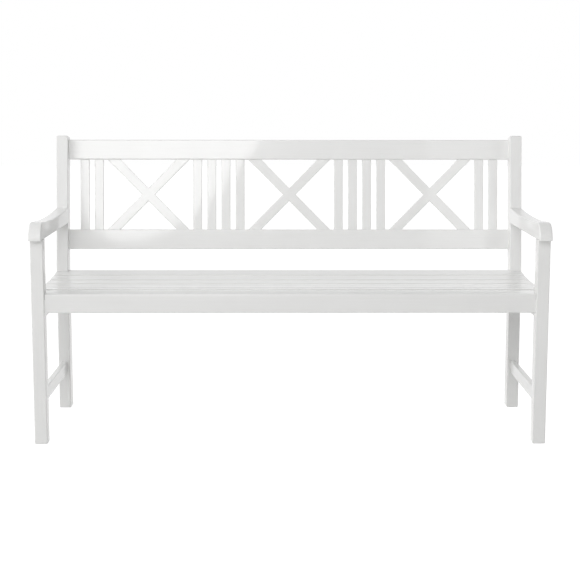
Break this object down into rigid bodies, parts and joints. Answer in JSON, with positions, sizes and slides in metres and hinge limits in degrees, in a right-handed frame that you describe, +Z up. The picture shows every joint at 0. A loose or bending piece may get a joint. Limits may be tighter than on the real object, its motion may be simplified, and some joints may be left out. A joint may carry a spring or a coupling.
{
  "type": "garden bench",
  "caption": "Three-seat slatted wooden bench with square legs, curved flat armrests and a raked back of upright slats and crossed braces.",
  "frame": {"origin": "on the floor, at the bottom centre of the bench's bounding box", "axes": "+Z up, +X to the right as seen from in front of the bench, +Y from the front of the bench towards its back"},
  "size_m": [1.52, 0.6042, 0.8941],
  "materials": {
    "white_lacquer": "gloss white lacquer on planed hardwood, grain faintly telegraphing through",
    "zinc_steel": "bright zinc-plated steel"
  },
  "bodies": {
    "root": {"front_leg_left": "white_lacquer", "front_leg_right": "white_lacquer", "rear_leg_left": "white_lacquer", "rear_leg_right": "white_lacquer", "armrest_left": "white_lacquer", "armrest_right": "white_lacquer", "side_stretcher_left": "white_lacquer", "side_stretcher_right": "white_lacquer", "seat_side_rail_left": "white_lacquer", "seat_side_rail_right": "white_lacquer", "seat_bearer_left": "white_lacquer", "seat_bearer_right": "white_lacquer", "front_seat_rail": "white_lacquer", "rear_seat_rail": "white_lacquer", "seat_slat_1": "white_lacquer", "seat_slat_2": "white_lacquer", "seat_slat_3": "white_lacquer", "seat_slat_4": "white_lacquer", "seat_slat_5": "white_lacquer", "seat_slat_6": "white_lacquer", "back_top_rail": "white_lacquer", "back_bottom_rail": "white_lacquer", "back_slat_01": "white_lacquer", "back_slat_02": "white_lacquer", "back_slat_03": "white_lacquer", "back_slat_04": "white_lacquer", "back_slat_05": "white_lacquer", "back_slat_06": "white_lacquer", "back_slat_07": "white_lacquer", "back_slat_08": "white_lacquer", "back_slat_09": "white_lacquer", "back_slat_10": "white_lacquer", "back_slat_11": "white_lacquer", "back_slat_12": "white_lacquer", "left_brace_rising": "white_lacquer", "left_brace_falling": "white_lacquer", "centre_brace_rising": "white_lacquer", "centre_brace_falling": "white_lacquer", "right_brace_rising": "white_lacquer", "right_brace_falling": "white_lacquer", "frame_bolts": "zinc_steel", "barrel_nuts": "zinc_steel", "slat_screws": "zinc_steel"}
  },
  "joints": []
}
